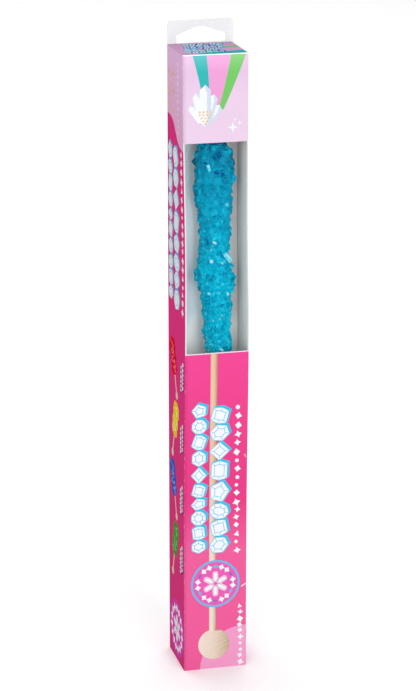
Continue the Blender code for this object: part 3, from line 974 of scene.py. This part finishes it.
topPrint = {
    "seed": 12, "starts": -13.5, "slant": 0.8, "sizes": (3.4, 4.6), "under": ("blue", "cyan", "teal"),
    # rows of stars: depth, and where each ends on the right
    "rows": ((-11.0, 6.0), (-6.0, 6.0), (-1.0, 7.0), (4.0, 9.0), (9.0, 11.5), (13.5, 12.5)),
}


def printTop():
    chance = random.Random(topPrint["seed"])
    for row, (depth, end) in enumerate(topPrint["rows"]):
        across = topPrint["starts"] + row * topPrint["slant"]
        while across < end:
            size = chance.uniform(*topPrint["sizes"])
            under = chance.choice(topPrint["under"])
            glow = star(4, size + 1.8, 0.75)
            press(glow, under, "top", across + 0.5, depth + 0.3, chance.random(), layer=1)
            press(star(4, size, 0.62), "white", "top", across, depth, chance.random(), layer=2)
            press(star(4, size * 0.35, 0.7), "blue", "top", across, depth, chance.random(), layer=3)
            across += size * 0.95


def printInk(name, colour):
    made, tree, shader, place = newMaterial("ink" + name.capitalize(), Roughness=cartonInks["roughness"])
    shader.inputs["Specular IOR Level"].default_value = cartonInks["gloss"]
    withBoardGrain(tree, shader, place, colour)
    return made


pictureWood = {
    # from the lit left edge to the shaded right one: place on the ramp and colour
    "ramp": (
        (0.0, ink(250, 208, 194)), (0.3, ink(246, 232, 218)), (0.6, ink(240, 218, 202)),
        (0.8, ink(216, 194, 170)), (1.0, ink(190, 160, 130)),
    ),
    "ballTop": 24.0, "ballShade": 0.065, "ballMiddle": 0.18,
    "browner": (0.92, 0.74, 0.62), "brownerUp": (65.0, 125.0),  # the stick browns towards the window
}


def birchPicture():
    # the picture of the wand's own stick and ball, with a fine grain
    made, tree, shader, place = newMaterial("birchPicture", Roughness=cartonInks["roughness"])
    shader.inputs["Specular IOR Level"].default_value = cartonInks["gloss"]
    split = useGroup(tree, sheetPlace, Place=place)
    across, up = split["Across"], split["Up"]
    stickAcross, ballAcross = frontPrint["stick"][0], frontPrint["ball"][0]
    halfStick = frontPrint["stick"][2] / 2
    inBall = between(tree, up, -5.0, pictureWood["ballTop"], soft=0.1)
    onStick = maths(tree, "DIVIDE", maths(tree, "SUBTRACT", across, stickAcross), halfStick)
    onBall = maths(tree, "SUBTRACT", across, ballAcross)
    onBall = maths(tree, "MULTIPLY_ADD", onBall, pictureWood["ballShade"], pictureWood["ballMiddle"])
    slanted = addNode(
        tree, "ShaderNodeMapping", {"Vector": place, "Rotation": (0.0, -0.3, 0.0), "Scale": (8.0, 1.0, 1.0)},
        vector_type="TEXTURE",
    ).outputs[0]
    upright = addNode(tree, "ShaderNodeMapping", {"Vector": place, "Scale": (1.0, 1.0, 0.06)}).outputs[0]
    ballGrain, stickGrain = noiseAt(tree, slanted, 900.0), noiseAt(tree, upright, 1500.0)
    shade = addNode(tree, "ShaderNodeMix", {0: inBall, 2: onStick, 3: onBall}).outputs[0]
    grain = addNode(tree, "ShaderNodeMix", {0: inBall, 2: stickGrain, 3: ballGrain}).outputs[0]
    shade = maths(tree, "MULTIPLY_ADD", grain, 0.7, maths(tree, "SUBTRACT", shade, 0.35))
    colour = colourRamp(tree, fade(tree, shade, -1.0, 1.0), pictureWood["ramp"])
    browned = mixed(tree, fade(tree, up, *pictureWood["brownerUp"]), (1.0, 1.0, 1.0), pictureWood["browner"])
    withBoardGrain(tree, shader, place, toned(tree, colour, browned))
    return made


printFront()
printSide("left", 21)
printSide("right", 41)
printBack()
printTop()
for name, sheet in sheets.items():
    made = printInk(name, inkColours[name]) if name in inkColours else birchPicture()
    addPiece("print" + name[0].upper() + name[1:], sheet, made)
print("print done:", len(sheets), "inks")


def makeFloor():
    bm = bmesh.new()
    bmesh.ops.create_grid(bm, x_segments=2, y_segments=2, size=4)
    mesh = bpy.data.meshes.new("floor")
    bm.to_mesh(mesh)
    bm.free()
    obj = bpy.data.objects.new("floor", mesh)
    bpy.context.scene.collection.objects.link(obj)
    made, tree, shader, place = newMaterial("paleFloor", Roughness=0.85)
    share = noiseAt(tree, place, 3.0, 2.0)
    plug(tree, mixed(tree, share, (0.93, 0.93, 0.93), (0.96, 0.96, 0.96)), shader.inputs["Base Color"])
    mesh.materials.append(made)


lights = {
    "world": 0.6,
    "softboxes": {
        "key": {"place": (0.3, -1.55, 0.65), "size": (0.8, 1.2), "power": 13.4, "aim": (0, 0, 0.2)},
        "fill": {"place": (-0.9, -1.4, 0.7), "size": (0.8, 1.2), "power": 9, "aim": (0, 0, 0.2)},
        "overhead": {"place": (0, 1.6, 2.2), "size": (3.0, 2.0), "power": 40, "aim": (0, 1.2, 0)},
    },
}
cameraSettings = {
    "yaw": 14.0, "pitch": 16.606,  # degrees right of straight back, and down
    "distance": 1.4955, "lens": 133.49,
    "aim": (0.32, 10.0),  # millimetres right of and above the carton's middle, as the camera sees it
}


def makeLights():
    world = bpy.data.worlds.new("studio")
    bpy.context.scene.world = world
    world.use_nodes = True
    background = world.node_tree.nodes["Background"]
    background.inputs["Color"].default_value = (1, 1, 1, 1)
    background.inputs["Strength"].default_value = lights["world"]
    for name, settings in lights["softboxes"].items():
        data = bpy.data.lights.new(name + "Softbox", "AREA")
        data.shape = "RECTANGLE"
        data.size, data.size_y = settings["size"]
        data.energy = settings["power"]
        obj = bpy.data.objects.new(name + "Softbox", data)
        bpy.context.scene.collection.objects.link(obj)
        obj.location = settings["place"]
        obj.rotation_euler = (Vector(settings["aim"]) - obj.location).to_track_quat("-Z", "Y").to_euler()


def makeCamera():
    settings = cameraSettings
    data = bpy.data.cameras.new("camera")
    data.lens = settings["lens"]
    data.sensor_width = 36
    data.clip_start = 0.01
    obj = bpy.data.objects.new("camera", data)
    bpy.context.scene.collection.objects.link(obj)
    turn = Matrix.Rotation(math.radians(-settings["yaw"]), 3, "Z")
    turn = turn @ Matrix.Rotation(math.radians(90 - settings["pitch"]), 3, "X")
    middle = Vector((0, 0, tall / 2 * mm))
    right, above = settings["aim"]
    obj.location = middle + turn @ Vector((right * mm, above * mm, settings["distance"]))
    obj.rotation_euler = turn.to_euler()
    bpy.context.scene.camera = obj


makeFloor()
makeLights()
makeCamera()
bpy.context.scene.view_settings.view_transform = "Standard"
print("floor, light and camera done")
